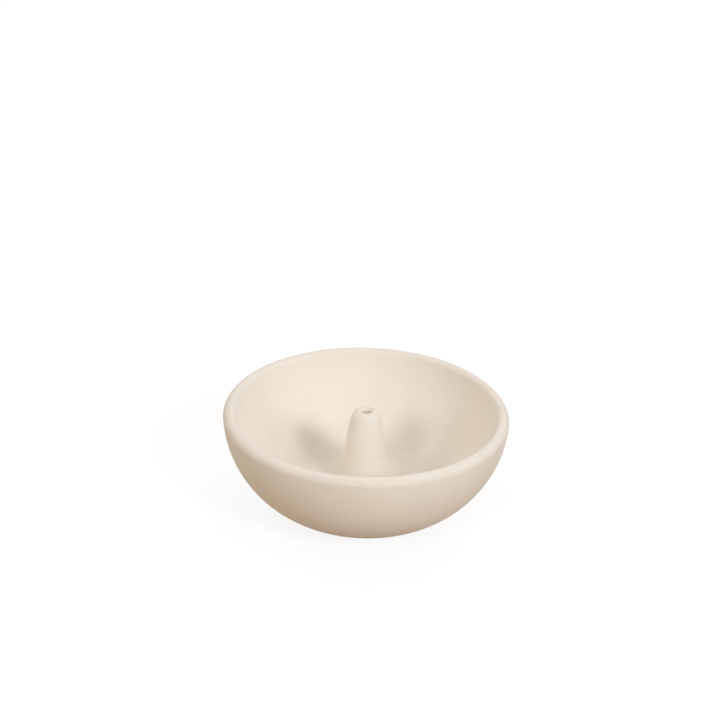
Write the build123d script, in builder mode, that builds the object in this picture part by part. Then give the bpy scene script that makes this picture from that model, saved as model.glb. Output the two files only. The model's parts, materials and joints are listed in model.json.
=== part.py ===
# Incense stick holder: a round ceramic dish with a tapered post in the middle that holds one stick.
# Millimetres, +Z up. The origin is the centre of the foot, on the surface that the dish stands on.
from build123d import *
import os
from math import cos, radians, sin, sqrt

os.makedirs("parts", exist_ok=True)

# Dish
RIM_DIAMETER = 80.0  # outside, at the widest
DISH_HEIGHT = 30.0  # foot to the top of the lip
WALL = 3.3  # thickness of the side
LIP_OUTER_ROUNDING = 2.1  # the lip rolls over gently on the outside, and more tightly on the inside
RIM_LEAN = 4.3  # degrees that the side still leans outwards where it meets the lip
FOOT_DIAMETER = 34.7  # flat patch that the dish stands on
FOOT_RING_WIDTH = 3.6  # flat ring left around the recess underneath
BASE_RECESS = 1.2  # depth of that recess
FOOT_ROUNDING = 0.4  # edges of the recess
FLOOR_HEIGHT = 7.3  # floor of the ash trough, above the foot
FLOOR_WIDTH = 3.3  # flat ring of that floor, at least
BEND_ROUNDING = 14.5  # between that floor and the wall, at most

# Stick post
POST_DROP = 0.1  # top of the post, below the lip
CROWN_RIDGE_DIAMETER = 3.9  # highest line of the top, around the hole
CROWN_ROUNDING = 2.08  # outside the ridge
POST_TAPER = 15.2  # degrees, each side, where the side leaves the crown
POST_BULGE = 54.0  # radius of the side, which curves slightly outwards
FLARE_ROUNDING = 10.5  # hollow between the side and the floor
STICK_HOLE_DIAMETER = 2.4
STICK_HOLE_DEPTH = 12.0

# Joint between the two: the post stands in a round seat, in a thin layer of fired joining slip
SEAT_DIAMETER = 22.0
SEAT_DEPTH = 3.0  # below the edge of the seat
SLIP_THICKNESS = 0.4

# Section of the dish, as radius and height
foot_radius = FOOT_DIAMETER / 2
recess_radius = foot_radius - FOOT_RING_WIDTH
lip_outer_centre = Vector(RIM_DIAMETER / 2 - LIP_OUTER_ROUNDING, DISH_HEIGHT - LIP_OUTER_ROUNDING)
lean = radians(RIM_LEAN)
lip_out = Vector(cos(lean), -sin(lean))
lip_outer_end = lip_outer_centre + lip_out * LIP_OUTER_ROUNDING
lip_top = Vector(lip_outer_centre.X, DISH_HEIGHT)

# The outside is one arc from the foot to the lip, and the inside runs parallel to it
foot_edge = Vector(foot_radius, 0)
chord = foot_edge - lip_outer_end
outer_radius = -chord.dot(chord) / (2 * chord.dot(lip_out))
wall_centre = lip_outer_end - lip_out * outer_radius
inner_radius = outer_radius - WALL

# The inner rounding of the lip starts at its top and runs into the inside
lip_reach = lip_top - wall_centre
lip_inner_rounding = (lip_reach.dot(lip_reach) - inner_radius**2) / (2 * (inner_radius + lip_reach.Y))
lip_inner_centre = lip_top - Vector(0, lip_inner_rounding)
lip_inner_end = wall_centre + (lip_inner_centre - wall_centre).normalized() * inner_radius

# Section of the post, above the flare
post_top = DISH_HEIGHT - POST_DROP
taper_out = Vector(cos(radians(POST_TAPER)), sin(radians(POST_TAPER)))
ridge = Vector(CROWN_RIDGE_DIAMETER / 2, post_top)
crown_centre = ridge - Vector(0, CROWN_ROUNDING)
crown_end = crown_centre + taper_out * CROWN_ROUNDING
side_centre = crown_end - taper_out * POST_BULGE

# The mouth of the hole is rounded right up to the ridge
hole_radius = STICK_HOLE_DIAMETER / 2
hole_bottom = post_top - STICK_HOLE_DEPTH
mouth_centre = ridge - Vector(0, ridge.X - hole_radius)
mouth_end = Vector(hole_radius, mouth_centre.Y)

# The flare runs from the floor into the side of the post
flare_rise = FLOOR_HEIGHT + FLARE_ROUNDING - side_centre.Y
flare_reach = sqrt((POST_BULGE + FLARE_ROUNDING) ** 2 - flare_rise**2)
flare_centre = Vector(side_centre.X + flare_reach, FLOOR_HEIGHT + FLARE_ROUNDING)
flare_foot = Vector(flare_centre.X, FLOOR_HEIGHT)
flare_meets_post = side_centre + (flare_centre - side_centre).normalized() * POST_BULGE

# The bend runs from the floor into the inside of the wall, as round as the flat ring leaves room for
ring_reach = flare_foot + Vector(FLOOR_WIDTH, 0) - wall_centre
widest_bend = (inner_radius**2 - ring_reach.dot(ring_reach)) / (2 * (inner_radius + ring_reach.Y))
bend_radius = min(BEND_ROUNDING, widest_bend)
bend_rise = FLOOR_HEIGHT + bend_radius - wall_centre.Y
bend_reach = sqrt((inner_radius - bend_radius) ** 2 - bend_rise**2)
bend_centre = Vector(wall_centre.X + bend_reach, FLOOR_HEIGHT + bend_radius)
bend_foot = Vector(bend_centre.X, FLOOR_HEIGHT)
bend_meets_wall = wall_centre + (bend_centre - wall_centre).normalized() * inner_radius


def flare_point(radius):
    """Point of the flare at a distance from the axis."""
    across = flare_centre.X - radius
    return Vector(radius, flare_centre.Y - sqrt(FLARE_ROUNDING**2 - across**2))


def arc_through(start, end, centre):
    """The shorter arc about a centre from one point to another."""
    middle = ((start - centre).normalized() + (end - centre).normalized()).normalized()
    return ThreePointArc(start, centre + middle * (start - centre).length, end)


# Seat, slip and foot of the post share these lines
seat_radius = SEAT_DIAMETER / 2
seat_edge = flare_point(seat_radius)
seat_height = seat_edge.Y - SEAT_DEPTH
post_foot_radius = seat_radius - SLIP_THICKNESS
post_foot_edge = flare_point(post_foot_radius)
post_foot_height = seat_height + SLIP_THICKNESS

# Dish
with BuildPart() as dish:
    with BuildSketch(Plane.XZ):
        with BuildLine():
            Polyline((0, seat_height), (0, BASE_RECESS), (recess_radius, BASE_RECESS))
            Polyline((recess_radius, BASE_RECESS), (recess_radius, 0), foot_edge)
            arc_through(foot_edge, lip_outer_end, wall_centre)
            arc_through(lip_outer_end, lip_top, lip_outer_centre)
            arc_through(lip_top, lip_inner_end, lip_inner_centre)
            arc_through(lip_inner_end, bend_meets_wall, wall_centre)
            arc_through(bend_meets_wall, bend_foot, bend_centre)
            Line(bend_foot, flare_foot)
            arc_through(flare_foot, seat_edge, flare_centre)
            Polyline(seat_edge, (seat_radius, seat_height), (0, seat_height))
        make_face()
    revolve(axis=Axis.Z)
    under_edges = dish.edges().filter_by(GeomType.CIRCLE).filter_by_position(Axis.Z, 0, BASE_RECESS)
    fillet(under_edges.group_by(SortBy.RADIUS)[0], FOOT_ROUNDING)
dish.part.label = "dish"
export_step(dish.part, "parts/dish.step")

# Joining slip: a thin cup between the seat and the post, flush with the flare
with BuildPart() as joining_slip:
    with BuildSketch(Plane.XZ):
        with BuildLine():
            Polyline((0, post_foot_height), (0, seat_height), (seat_radius, seat_height), seat_edge)
            arc_through(seat_edge, post_foot_edge, flare_centre)
            Polyline(post_foot_edge, (post_foot_radius, post_foot_height), (0, post_foot_height))
        make_face()
    revolve(axis=Axis.Z)
joining_slip.part.label = "joining_slip"
export_step(joining_slip.part, "parts/joining_slip.step")

# Stick post: flared foot, bulging tapered side, rounded crown and a blind hole for the stick
with BuildPart() as stick_post:
    with BuildSketch(Plane.XZ):
        with BuildLine():
            Polyline((0, post_foot_height), (post_foot_radius, post_foot_height), post_foot_edge)
            arc_through(post_foot_edge, flare_meets_post, flare_centre)
            arc_through(flare_meets_post, crown_end, side_centre)
            arc_through(crown_end, ridge, crown_centre)
            arc_through(ridge, mouth_end, mouth_centre)
            Polyline(mouth_end, (hole_radius, hole_bottom), (0, hole_bottom), (0, post_foot_height))
        make_face()
    revolve(axis=Axis.Z)
stick_post.part.label = "stick_post"
export_step(stick_post.part, "parts/stick_post.step")

print(f"outside arc {outer_radius:.2f}, inner rounding of the lip {lip_inner_rounding:.2f}")
print(f"bend of the floor {bend_radius:.2f}, edge of the seat at {seat_edge.Y:.2f}")
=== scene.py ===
"""Looks of the incense stick holder: a small cream ceramic dish with a tapered stick post in its middle."""
import json
from math import acos, atan2, ceil, cos, pi, radians, sin, sqrt

import bmesh
import bpy
from mathutils import Matrix, Vector


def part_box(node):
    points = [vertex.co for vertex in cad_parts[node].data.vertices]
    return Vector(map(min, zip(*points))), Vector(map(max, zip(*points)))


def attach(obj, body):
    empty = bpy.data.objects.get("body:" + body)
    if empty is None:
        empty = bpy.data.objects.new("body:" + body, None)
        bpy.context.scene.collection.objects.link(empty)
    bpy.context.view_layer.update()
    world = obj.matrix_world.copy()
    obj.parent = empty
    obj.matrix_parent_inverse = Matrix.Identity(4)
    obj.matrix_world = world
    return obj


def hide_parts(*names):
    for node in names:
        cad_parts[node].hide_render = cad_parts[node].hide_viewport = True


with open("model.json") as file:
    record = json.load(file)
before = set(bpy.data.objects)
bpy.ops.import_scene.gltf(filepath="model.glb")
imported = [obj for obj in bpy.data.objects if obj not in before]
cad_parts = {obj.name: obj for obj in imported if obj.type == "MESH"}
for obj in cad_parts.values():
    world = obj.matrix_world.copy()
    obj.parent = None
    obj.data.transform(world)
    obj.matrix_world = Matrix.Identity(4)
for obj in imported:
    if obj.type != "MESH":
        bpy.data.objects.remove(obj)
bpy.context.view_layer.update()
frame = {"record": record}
scene = bpy.context.scene

MM = 0.001  # the frame is in metres, the sizes below are in millimetres

# Overall sizes and the stick hole, from the frame
dish_low, dish_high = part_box("dish")
slip_low, slip_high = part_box("joining_slip")
post_low, post_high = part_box("stick_post")
RIM_RADIUS = min(*dish_high.xy, *-dish_low.xy) / MM  # no wider than the faceted rim of the CAD model
DISH_HEIGHT = round(dish_high.z / MM, 2)
SEAT_RADIUS = round(slip_high.x / MM, 1)
SEAT_HEIGHT = slip_low.z / MM
POST_FOOT_RADIUS = round(post_high.x / MM, 1)
POST_FOOT_HEIGHT = post_low.z / MM
POST_TOP = round(post_high.z / MM, 2)
hole = next(mount for mount in frame["record"]["mounts"] if mount["name"] == "stick_hole")
HOLE_RADIUS = hole["dims"]["r_mm"]
HOLE_BOTTOM = hole["pos_m"][2] / MM - hole["dims"]["length_mm"] / 2
MOUTH_ROUNDING = POST_TOP - HOLE_BOTTOM - hole["dims"]["length_mm"]

# Section of the dish and the post
WALL = 3.3
LIP_OUTER = 2.1  # rounding of the lip's outside
RIM_LEAN = radians(4.3)
FOOT_RADIUS = 17.35
FOOT_RING_WIDTH = 3.6
BASE_RECESS = 1.2
FOOT_ROUNDING = 0.4
FLOOR_HEIGHT = 7.3
FLOOR_WIDTH = 3.3  # flat ring of the floor
CROWN_ROUNDING = 2.08
POST_TAPER = radians(15.2)
POST_BULGE = 54.0
FLARE = 10.5  # rounding between the post's side and the floor

# Fineness of the meshes
CURVE_STEP = 0.45  # along an arc of the section
FLAT_STEP = 3.0
TURN_STEP = radians(6)  # most that one stretch of an arc may turn
DISH_TURNS = 288
POST_TURNS = 192
SHARP_ANGLE = radians(35)
SAME_POINT = 1e-4  # points nearer to each other than this are one

# Camera, fitted to the outline of the dish in the photograph
IMAGE_SIZE = 720
CAMERA_DISTANCE = 800.0
CAMERA_ELEVATION = radians(29.25)
CAMERA_ROLL = radians(1.82)
PIXELS_PER_MM = 3.549
AIM_HEIGHT = 15.0
AIM_PIXEL = (364.9, 457.1)
SENSOR_WIDTH = 36.0
CLIP_START = 50.0

# Light; at level 1 a white surface that faces a lamp renders white
HORIZON_LEVEL = 0.303
ZENITH_GAIN = 0.13  # more light from straight above than from the horizon
WARM = (1.09, 1.0, 0.935)  # all around
FAINT_WARM = (1.03, 1.0, 0.965)  # from the left
COOL = (0.925, 1.0, 1.05)  # from the right
WHITE = (1.0, 1.0, 1.0)
# Lamps: colour, then azimuth (0 at the camera, 90 at the right), elevation and spread in degrees, then level
LAMPS = {
    "key": (COOL, 37, 33, 14, 0.3),
    "fill": (FAINT_WARM, -28, 28, 14, 0.188),
    "back_right": (WHITE, 150, 42, 45, 0.183),
    "back_left": (FAINT_WARM, -125, 37, 45, 0.157),
    "right": (COOL, 60, 15, 45, 0.162),
}

# Floor: sizes in metres
FLOOR_SIZE = 6.0
FLOOR_GLOW = 0.85  # white that it shows without any light on it
FLOOR_TONE = 0.2  # share of the light on it that it shows besides, which keeps the shadow
BOUNCE_LEFT = (0.47, 0.35, 0.20)  # colours of the light that it throws back up
BOUNCE_RIGHT = (0.55, 0.43, 0.32)
BOUNCE_TURN = (-0.08, -0.005)  # across, where the one goes over into the other

# Ceramic: linear colours, and sizes in millimetres
CREAM = (0.864, 0.803, 0.72)
SLIP_CREAM = (0.856, 0.795, 0.712)
BARE_CLAY = (0.87, 0.765, 0.65)
IRON_BROWN = (0.36, 0.25, 0.16)
SPECULAR = 0.2
ROUGHNESS = (0.70, 0.82)
ROUGHNESS_SIZE = 6.0
BARE_ROUGHNESS = 0.15  # added where the clay is bare
NOISE_DETAIL = 2.0
NOISE_MIDDLE = 0.5
NOISE_RANGE = (0.3, 0.7)  # where most of the noise lies
# Unevenness: size of the features, change of the tone and height of the relief
CLOUDS = (16.0, 0.07, 0.05)
PATCHES = (4.5, 0.05, 0.014)
GRAIN = (0.4, 0.06, 0.0012)
# Iron specks
SPECK_SPACING = 4.0
SPECK_SHARE = 0.35  # share of the places that have a speck
SPECK_RADIUS = (0.08, 0.22)
SPECK_CORE = 0.4  # share of the radius within which a speck is darkest
SPECK_STRENGTH = 0.4
# Bare clay: its uneven edge above the foot, and how far outside the hole's wall it begins and is whole
BARE_LINE_HEIGHT = 0.1
BARE_LINE_SWING = 0.6
BARE_LINE_SIZE = 3.0
BARE_LINE_BLUR = 0.1
BARE_MOUTH = (0.2, 0.02)


def along(angle):
    """Direction in the section plane."""
    return Vector((cos(angle), sin(angle)))


# Circles that make the section, as radius and height: the lip and the two parallel sides of the wall
lip_top = Vector((RIM_RADIUS - LIP_OUTER, DISH_HEIGHT))
lip_out_centre = lip_top - Vector((0, LIP_OUTER))
rim_out = along(-RIM_LEAN)
chord = Vector((FOOT_RADIUS, 0)) - (lip_out_centre + rim_out * LIP_OUTER)
outer_radius = -chord.dot(chord) / (2 * chord.dot(rim_out))
wall_centre = lip_out_centre + rim_out * (LIP_OUTER - outer_radius)
inner_radius = outer_radius - WALL
lip_reach = lip_top - wall_centre
lip_inner = (lip_reach.dot(lip_reach) - inner_radius**2) / (2 * (inner_radius + lip_reach.y))
lip_in_centre = lip_top - Vector((0, lip_inner))

# The crown of the post and its bulging side
crown_centre = Vector((HOLE_RADIUS + MOUTH_ROUNDING, POST_TOP - CROWN_ROUNDING))
side_centre = crown_centre - along(POST_TAPER) * (POST_BULGE - CROWN_ROUNDING)

# The flare touches the side of the post and the floor
flare_height = FLOOR_HEIGHT + FLARE
flare_reach = sqrt((POST_BULGE + FLARE) ** 2 - (flare_height - side_centre.y) ** 2)
flare_centre = Vector((side_centre.x + flare_reach, flare_height))

# The bend touches the floor, at the edge of its flat ring, and the inside of the wall
bend_foot = Vector((flare_centre.x + FLOOR_WIDTH, FLOOR_HEIGHT))
bend_reach = bend_foot - wall_centre
bend_radius = (inner_radius**2 - bend_reach.dot(bend_reach)) / (2 * (inner_radius + bend_reach.y))
bend_centre = bend_foot + Vector((0, bend_radius))


def arc(centre, radius, start, end):
    """Points along an arc, angles in radians."""
    turn = abs(end - start)
    count = max(ceil(turn * radius / CURVE_STEP), ceil(turn / TURN_STEP))
    angles = [start + (end - start) * i / count for i in range(count + 1)]
    return [Vector(centre) + along(a) * radius for a in angles]


def line(start, end):
    """Points along a straight stretch."""
    start, end = Vector(start), Vector(end)
    count = ceil((end - start).length / FLAT_STEP)
    return [start.lerp(end, i / count) for i in range(count + 1)]


def joined(*stretches):
    """One outline from stretches that meet end to end."""
    points = []
    for stretch in stretches:
        points += [p for p in stretch if not points or (p - points[-1]).length > SAME_POINT]
    return points


def angle_to(start, end):
    """Direction from one point of the section to another."""
    return atan2(end.y - start.y, end.x - start.x)


def flare_angle(radius):
    """Angle on the flare's circle at a distance from the axis."""
    return -acos((radius - flare_centre.x) / FLARE)


def flare_point(radius):
    """Point of the flare at a distance from the axis."""
    return flare_centre + along(flare_angle(radius)) * FLARE


def dish_section():
    """From the middle of the underside, over the lip, to the middle of the seat."""
    foot_angle = angle_to(wall_centre, Vector((FOOT_RADIUS, 0)))
    lip_angle = angle_to(wall_centre, lip_in_centre)
    bend_angle = angle_to(wall_centre, bend_centre)
    recess = FOOT_RADIUS - FOOT_RING_WIDTH
    corner = (recess - FOOT_ROUNDING, BASE_RECESS - FOOT_ROUNDING)
    heel = (recess + FOOT_ROUNDING, FOOT_ROUNDING)
    return joined(
        line((0, BASE_RECESS), (corner[0], BASE_RECESS)),
        arc(corner, FOOT_ROUNDING, pi / 2, 0),
        arc(heel, FOOT_ROUNDING, -pi, -pi / 2),
        line((heel[0], 0), (FOOT_RADIUS, 0)),
        arc(wall_centre, outer_radius, foot_angle, -RIM_LEAN),
        arc(lip_out_centre, LIP_OUTER, -RIM_LEAN, pi / 2),
        arc(lip_in_centre, lip_inner, pi / 2, pi + lip_angle),
        arc(wall_centre, inner_radius, lip_angle, bend_angle),
        arc(bend_centre, bend_radius, bend_angle, -pi / 2),
        line((bend_centre.x, FLOOR_HEIGHT), (flare_centre.x, FLOOR_HEIGHT)),
        arc(flare_centre, FLARE, -pi / 2, flare_angle(SEAT_RADIUS)),
        line(flare_point(SEAT_RADIUS), (SEAT_RADIUS, SEAT_HEIGHT)),
        line((SEAT_RADIUS, SEAT_HEIGHT), (0, SEAT_HEIGHT)),
    )


def slip_section():
    """Thin cup between the seat and the post, flush with the flare."""
    return joined(
        line((0, SEAT_HEIGHT), (SEAT_RADIUS, SEAT_HEIGHT)),
        line((SEAT_RADIUS, SEAT_HEIGHT), flare_point(SEAT_RADIUS)),
        arc(flare_centre, FLARE, flare_angle(SEAT_RADIUS), flare_angle(POST_FOOT_RADIUS)),
        line(flare_point(POST_FOOT_RADIUS), (POST_FOOT_RADIUS, POST_FOOT_HEIGHT)),
        line((POST_FOOT_RADIUS, POST_FOOT_HEIGHT), (0, POST_FOOT_HEIGHT)),
    )


def post_section():
    """From the middle of the post's foot, over the crown, to the bottom of the stick hole."""
    side_end = angle_to(side_centre, flare_centre)
    mouth = (HOLE_RADIUS + MOUTH_ROUNDING, POST_TOP - MOUTH_ROUNDING)
    return joined(
        line((0, POST_FOOT_HEIGHT), (POST_FOOT_RADIUS, POST_FOOT_HEIGHT)),
        line((POST_FOOT_RADIUS, POST_FOOT_HEIGHT), flare_point(POST_FOOT_RADIUS)),
        arc(flare_centre, FLARE, flare_angle(POST_FOOT_RADIUS), side_end - pi),
        arc(side_centre, POST_BULGE, side_end, POST_TAPER),
        arc(crown_centre, CROWN_ROUNDING, POST_TAPER, pi / 2),
        arc(mouth, MOUTH_ROUNDING, pi / 2, pi),
        line((HOLE_RADIUS, mouth[1]), (HOLE_RADIUS, HOLE_BOTTOM)),
        line((HOLE_RADIUS, HOLE_BOTTOM), (0, HOLE_BOTTOM)),
    )


def lathe(name, section, turns):
    """Closed body of revolution from a section that starts and ends on the axis."""
    bm = bmesh.new()
    rings = []
    angles = [2 * pi * k / turns for k in range(turns)]
    for p in section:
        if p.x < SAME_POINT:
            rings.append([bm.verts.new((0, 0, p.y * MM))])
        else:
            rings.append([bm.verts.new((p.x * cos(a) * MM, p.x * sin(a) * MM, p.y * MM)) for a in angles])
    for low, high in zip(rings, rings[1:]):
        for k in range(turns):
            n = (k + 1) % turns
            corners = [low[k % len(low)], low[n % len(low)], high[n % len(high)], high[k % len(high)]]
            bm.faces.new(list(dict.fromkeys(corners)))
    bmesh.ops.recalc_face_normals(bm, faces=bm.faces)
    mesh = bpy.data.meshes.new(name)
    bm.to_mesh(mesh)
    bm.free()
    mesh.shade_smooth()
    mesh.set_sharp_from_angle(angle=SHARP_ANGLE)
    piece = bpy.data.objects.new(name, mesh)
    scene.collection.objects.link(piece)
    return piece


def make(tree, kind, inputs, **settings):
    """New node; each of its inputs is a plain value or the output of another node."""
    node = tree.nodes.new(kind)
    for name, value in settings.items():
        setattr(node, name, value)
    for key, value in inputs.items():
        if isinstance(value, bpy.types.NodeSocket):
            tree.links.new(value, node.inputs[key])
        else:
            node.inputs[key].default_value = value
    return node


def maths(tree, operation, *values):
    """Result of one sum on plain values or outputs of nodes."""
    return make(tree, "ShaderNodeMath", dict(enumerate(values)), operation=operation).outputs[0]


def smooth_step(tree, value, start, end, low=0.0, high=1.0):
    """Goes smoothly from low to high as the value goes from start to end."""
    inputs = {"Value": value, "From Min": start, "From Max": end, "To Min": low, "To Max": high}
    return make(tree, "ShaderNodeMapRange", inputs, interpolation_type="SMOOTHSTEP").outputs[0]


def mixed(tree, share, first, second):
    """Colour between two others."""
    first, second = (c if isinstance(c, bpy.types.NodeSocket) else (*c, 1) for c in (first, second))
    # Inputs 6 and 7 and output 2 are the node's colours; the lower ones are for numbers and vectors
    return make(tree, "ShaderNodeMix", {0: share, 6: first, 7: second}, data_type="RGBA").outputs[2]


def noise(tree, place, size):
    """Soft random field between 0 and 1, with features of about this size."""
    inputs = {"Vector": place, "Scale": 1 / size, "Detail": NOISE_DETAIL}
    return make(tree, "ShaderNodeTexNoise", inputs).outputs[0]


def bare_underside(tree, place, axis_distance, height):
    """The foot ring and the recess inside it, up to an uneven line just above the foot."""
    swing = noise(tree, place, BARE_LINE_SIZE)
    line_height = maths(tree, "MULTIPLY_ADD", swing, BARE_LINE_SWING, BARE_LINE_HEIGHT)
    above_line = maths(tree, "SUBTRACT", height, line_height)
    near_foot = smooth_step(tree, above_line, BARE_LINE_BLUR, -BARE_LINE_BLUR)
    in_recess = maths(tree, "LESS_THAN", axis_distance, FOOT_RADIUS - FOOT_RING_WIDTH / 2)
    below_floor = maths(tree, "LESS_THAN", height, 2 * BASE_RECESS)
    return maths(tree, "MAXIMUM", near_foot, maths(tree, "MULTIPLY", in_recess, below_floor))


def bare_hole(tree, place, axis_distance, height):
    """The wall and the bottom of the stick hole."""
    start, end = (HOLE_RADIUS + outside for outside in BARE_MOUTH)
    return smooth_step(tree, axis_distance, start, end)


def iron_specks(tree, place):
    """Share of iron brown: a few round specks of different sizes."""
    cells = make(tree, "ShaderNodeTexVoronoi", {"Vector": place, "Scale": 1 / SPECK_SPACING})
    draw = make(tree, "ShaderNodeSeparateColor", {0: cells.outputs["Color"]})
    chosen = maths(tree, "LESS_THAN", draw.outputs[0], SPECK_SHARE)
    radius = smooth_step(tree, draw.outputs[1], 0.0, 1.0, *SPECK_RADIUS)
    distance = maths(tree, "MULTIPLY", cells.outputs["Distance"], SPECK_SPACING)
    round_speck = smooth_step(tree, distance, radius, maths(tree, "MULTIPLY", radius, SPECK_CORE))
    return maths(tree, "MULTIPLY", maths(tree, "MULTIPLY", round_speck, chosen), SPECK_STRENGTH)


def ceramic(name, colour, bare=None):
    """Matte ceramic with faint clouds, fine grain and a few iron specks, left bare where bare() says."""
    material = bpy.data.materials.new(name)
    material.use_nodes = True
    tree = material.node_tree
    shader = tree.nodes["Principled BSDF"]
    metres = make(tree, "ShaderNodeTexCoord", {}).outputs["Object"]
    place = make(tree, "ShaderNodeVectorMath", {0: metres, "Scale": 1 / MM}, operation="SCALE").outputs[0]
    height = make(tree, "ShaderNodeSeparateXYZ", {0: place}).outputs["Z"]
    flat = make(tree, "ShaderNodeVectorMath", {0: place, 1: (1, 1, 0)}, operation="MULTIPLY").outputs[0]
    axis_distance = make(tree, "ShaderNodeVectorMath", {0: flat}, operation="LENGTH").outputs["Value"]

    tone = 1.0
    relief = 0.0
    for size, change, depth in (CLOUDS, PATCHES, GRAIN):
        swing = maths(tree, "SUBTRACT", noise(tree, place, size), NOISE_MIDDLE)
        tone = maths(tree, "MULTIPLY_ADD", swing, change, tone)
        relief = maths(tree, "MULTIPLY_ADD", swing, depth, relief)
    roughness = smooth_step(tree, noise(tree, place, ROUGHNESS_SIZE), *NOISE_RANGE, *ROUGHNESS)
    if bare:
        bareness = bare(tree, place, axis_distance, height)
        colour = mixed(tree, bareness, colour, BARE_CLAY)
        roughness = maths(tree, "MULTIPLY_ADD", bareness, BARE_ROUGHNESS, roughness)
    speckled = mixed(tree, iron_specks(tree, place), colour, IRON_BROWN)
    toned = make(tree, "ShaderNodeVectorMath", {0: speckled, "Scale": tone}, operation="SCALE").outputs[0]
    bump = make(tree, "ShaderNodeBump", {"Distance": MM, "Height": relief}).outputs["Normal"]
    shader.inputs["Specular IOR Level"].default_value = SPECULAR
    tree.links.new(toned, shader.inputs["Base Color"])
    tree.links.new(roughness, shader.inputs["Roughness"])
    tree.links.new(bump, shader.inputs["Normal"])
    return material


def add_piece(piece, node, material):
    """Gives a piece its material and puts it in the place of its CAD node."""
    piece.data.materials.append(material)
    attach(piece, "root")
    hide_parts(node)


dish_clay = ceramic("dish_clay", CREAM, bare_underside)
slip_clay = ceramic("slip_clay", SLIP_CREAM)
post_clay = ceramic("post_clay", CREAM, bare_hole)
add_piece(lathe("ceramic_dish", dish_section(), DISH_TURNS), "dish", dish_clay)
add_piece(lathe("fired_slip", slip_section(), POST_TURNS), "joining_slip", slip_clay)
add_piece(lathe("post_with_stick_hole", post_section(), POST_TURNS), "stick_post", post_clay)


def make_camera():
    """Camera with no shift, turned so that the aim point lands on its pixel of the photograph."""
    data = bpy.data.cameras.new("camera")
    camera = bpy.data.objects.new("camera", data)
    scene.collection.objects.link(camera)
    focal = PIXELS_PER_MM * CAMERA_DISTANCE
    data.sensor_width = SENSOR_WIDTH
    data.lens = SENSOR_WIDTH * focal / IMAGE_SIZE
    data.clip_start = CLIP_START * MM
    aim = Vector((0, 0, AIM_HEIGHT * MM))
    back = Vector((0, -cos(CAMERA_ELEVATION), sin(CAMERA_ELEVATION)))
    level = (-back).to_track_quat("-Z", "Y").to_matrix() @ Matrix.Rotation(CAMERA_ROLL, 3, "Z")
    across = AIM_PIXEL[0] - IMAGE_SIZE / 2
    down = AIM_PIXEL[1] - IMAGE_SIZE / 2
    seen = Vector((across, -down, -focal)).normalized()
    turn = seen.rotation_difference(Vector((0, 0, -1))).to_matrix()
    camera.matrix_world = Matrix.Translation(aim + back * CAMERA_DISTANCE * MM) @ (level @ turn).to_4x4()
    scene.camera = camera


def soft_sun(name, colour, azimuth, elevation, spread, level):
    """Soft light from one direction."""
    data = bpy.data.lights.new(name, "SUN")
    data.angle = radians(spread)
    data.energy = pi * level
    data.color = colour
    light = bpy.data.objects.new(name, data)
    a, e = radians(azimuth), radians(elevation)
    back = Vector((sin(a) * cos(e), -cos(a) * cos(e), sin(e)))
    light.location = back
    light.rotation_euler = (-back).to_track_quat("-Z", "Y").to_euler()
    scene.collection.objects.link(light)


def seen_directly(tree):
    """1 where the camera sees a surface itself or in a reflection, 0 where it only lights other surfaces."""
    path = make(tree, "ShaderNodeLightPath", {}).outputs
    direct = maths(tree, "MAXIMUM", path["Is Camera Ray"], path["Is Glossy Ray"])
    return maths(tree, "MAXIMUM", direct, path["Is Transmission Ray"])


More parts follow.
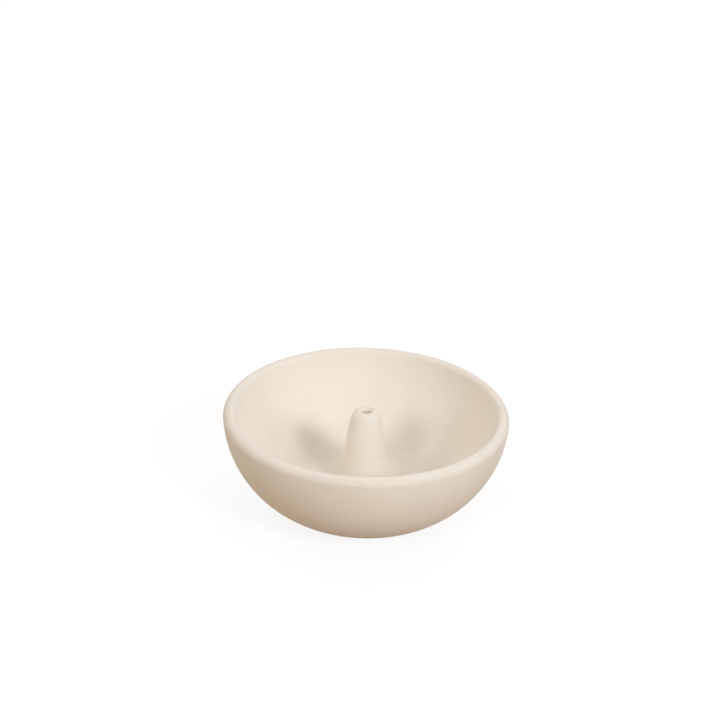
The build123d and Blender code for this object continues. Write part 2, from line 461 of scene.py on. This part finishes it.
def light_world():
    """White surroundings that light the object at a plain level."""
    world = bpy.data.worlds.new("world")
    world.use_nodes = True
    tree = world.node_tree
    lighting = tree.nodes["Background"]
    lighting.inputs["Color"].default_value = (*WARM, 1)
    direction = make(tree, "ShaderNodeTexCoord", {}).outputs["Generated"]
    rise = maths(tree, "MAXIMUM", make(tree, "ShaderNodeSeparateXYZ", {0: direction}).outputs["Z"], 0.0)
    level = maths(tree, "MULTIPLY_ADD", rise, ZENITH_GAIN, HORIZON_LEVEL)
    tree.links.new(level, lighting.inputs["Strength"])
    shown = make(tree, "ShaderNodeBackground", {"Color": (*WHITE, 1), "Strength": 1.0})
    shaders = {0: seen_directly(tree), 1: lighting.outputs[0], 2: shown.outputs[0]}
    mix = make(tree, "ShaderNodeMixShader", shaders)
    tree.links.new(mix.outputs[0], tree.nodes["World Output"].inputs["Surface"])
    scene.world = world


def floor_material():
    """White floor that keeps a soft shadow; the light that it throws back up is warm, more so on the left."""
    material = bpy.data.materials.new("floor_white")
    material.use_nodes = True
    tree = material.node_tree
    tree.nodes.remove(tree.nodes["Principled BSDF"])
    shaded = make(tree, "ShaderNodeBsdfDiffuse", {"Color": (FLOOR_TONE, FLOOR_TONE, FLOOR_TONE, 1)})
    glow = make(tree, "ShaderNodeEmission", {"Color": (*WHITE, 1), "Strength": FLOOR_GLOW})
    shown = make(tree, "ShaderNodeAddShader", {0: shaded.outputs[0], 1: glow.outputs[0]})
    place = make(tree, "ShaderNodeTexCoord", {}).outputs["Object"]
    across = make(tree, "ShaderNodeSeparateXYZ", {0: place}).outputs["X"]
    thrown = mixed(tree, smooth_step(tree, across, *BOUNCE_TURN), BOUNCE_LEFT, BOUNCE_RIGHT)
    bounce = make(tree, "ShaderNodeBsdfDiffuse", {"Color": thrown})
    shaders = {0: seen_directly(tree), 1: bounce.outputs[0], 2: shown.outputs[0]}
    mix = make(tree, "ShaderNodeMixShader", shaders)
    tree.links.new(mix.outputs[0], tree.nodes["Material Output"].inputs["Surface"])
    return material


def add_floor():
    """Flat square floor under the foot."""
    half = FLOOR_SIZE / 2
    corners = [(-half, -half, 0), (half, -half, 0), (half, half, 0), (-half, half, 0)]
    mesh = bpy.data.meshes.new("floor")
    mesh.from_pydata(corners, [], [(0, 1, 2, 3)])
    mesh.materials.append(floor_material())
    floor = bpy.data.objects.new("floor", mesh)
    scene.collection.objects.link(floor)


make_camera()
for lamp_name, lamp in LAMPS.items():
    soft_sun(lamp_name, *lamp)
light_world()
add_floor()
scene.view_settings.view_transform = "Standard"
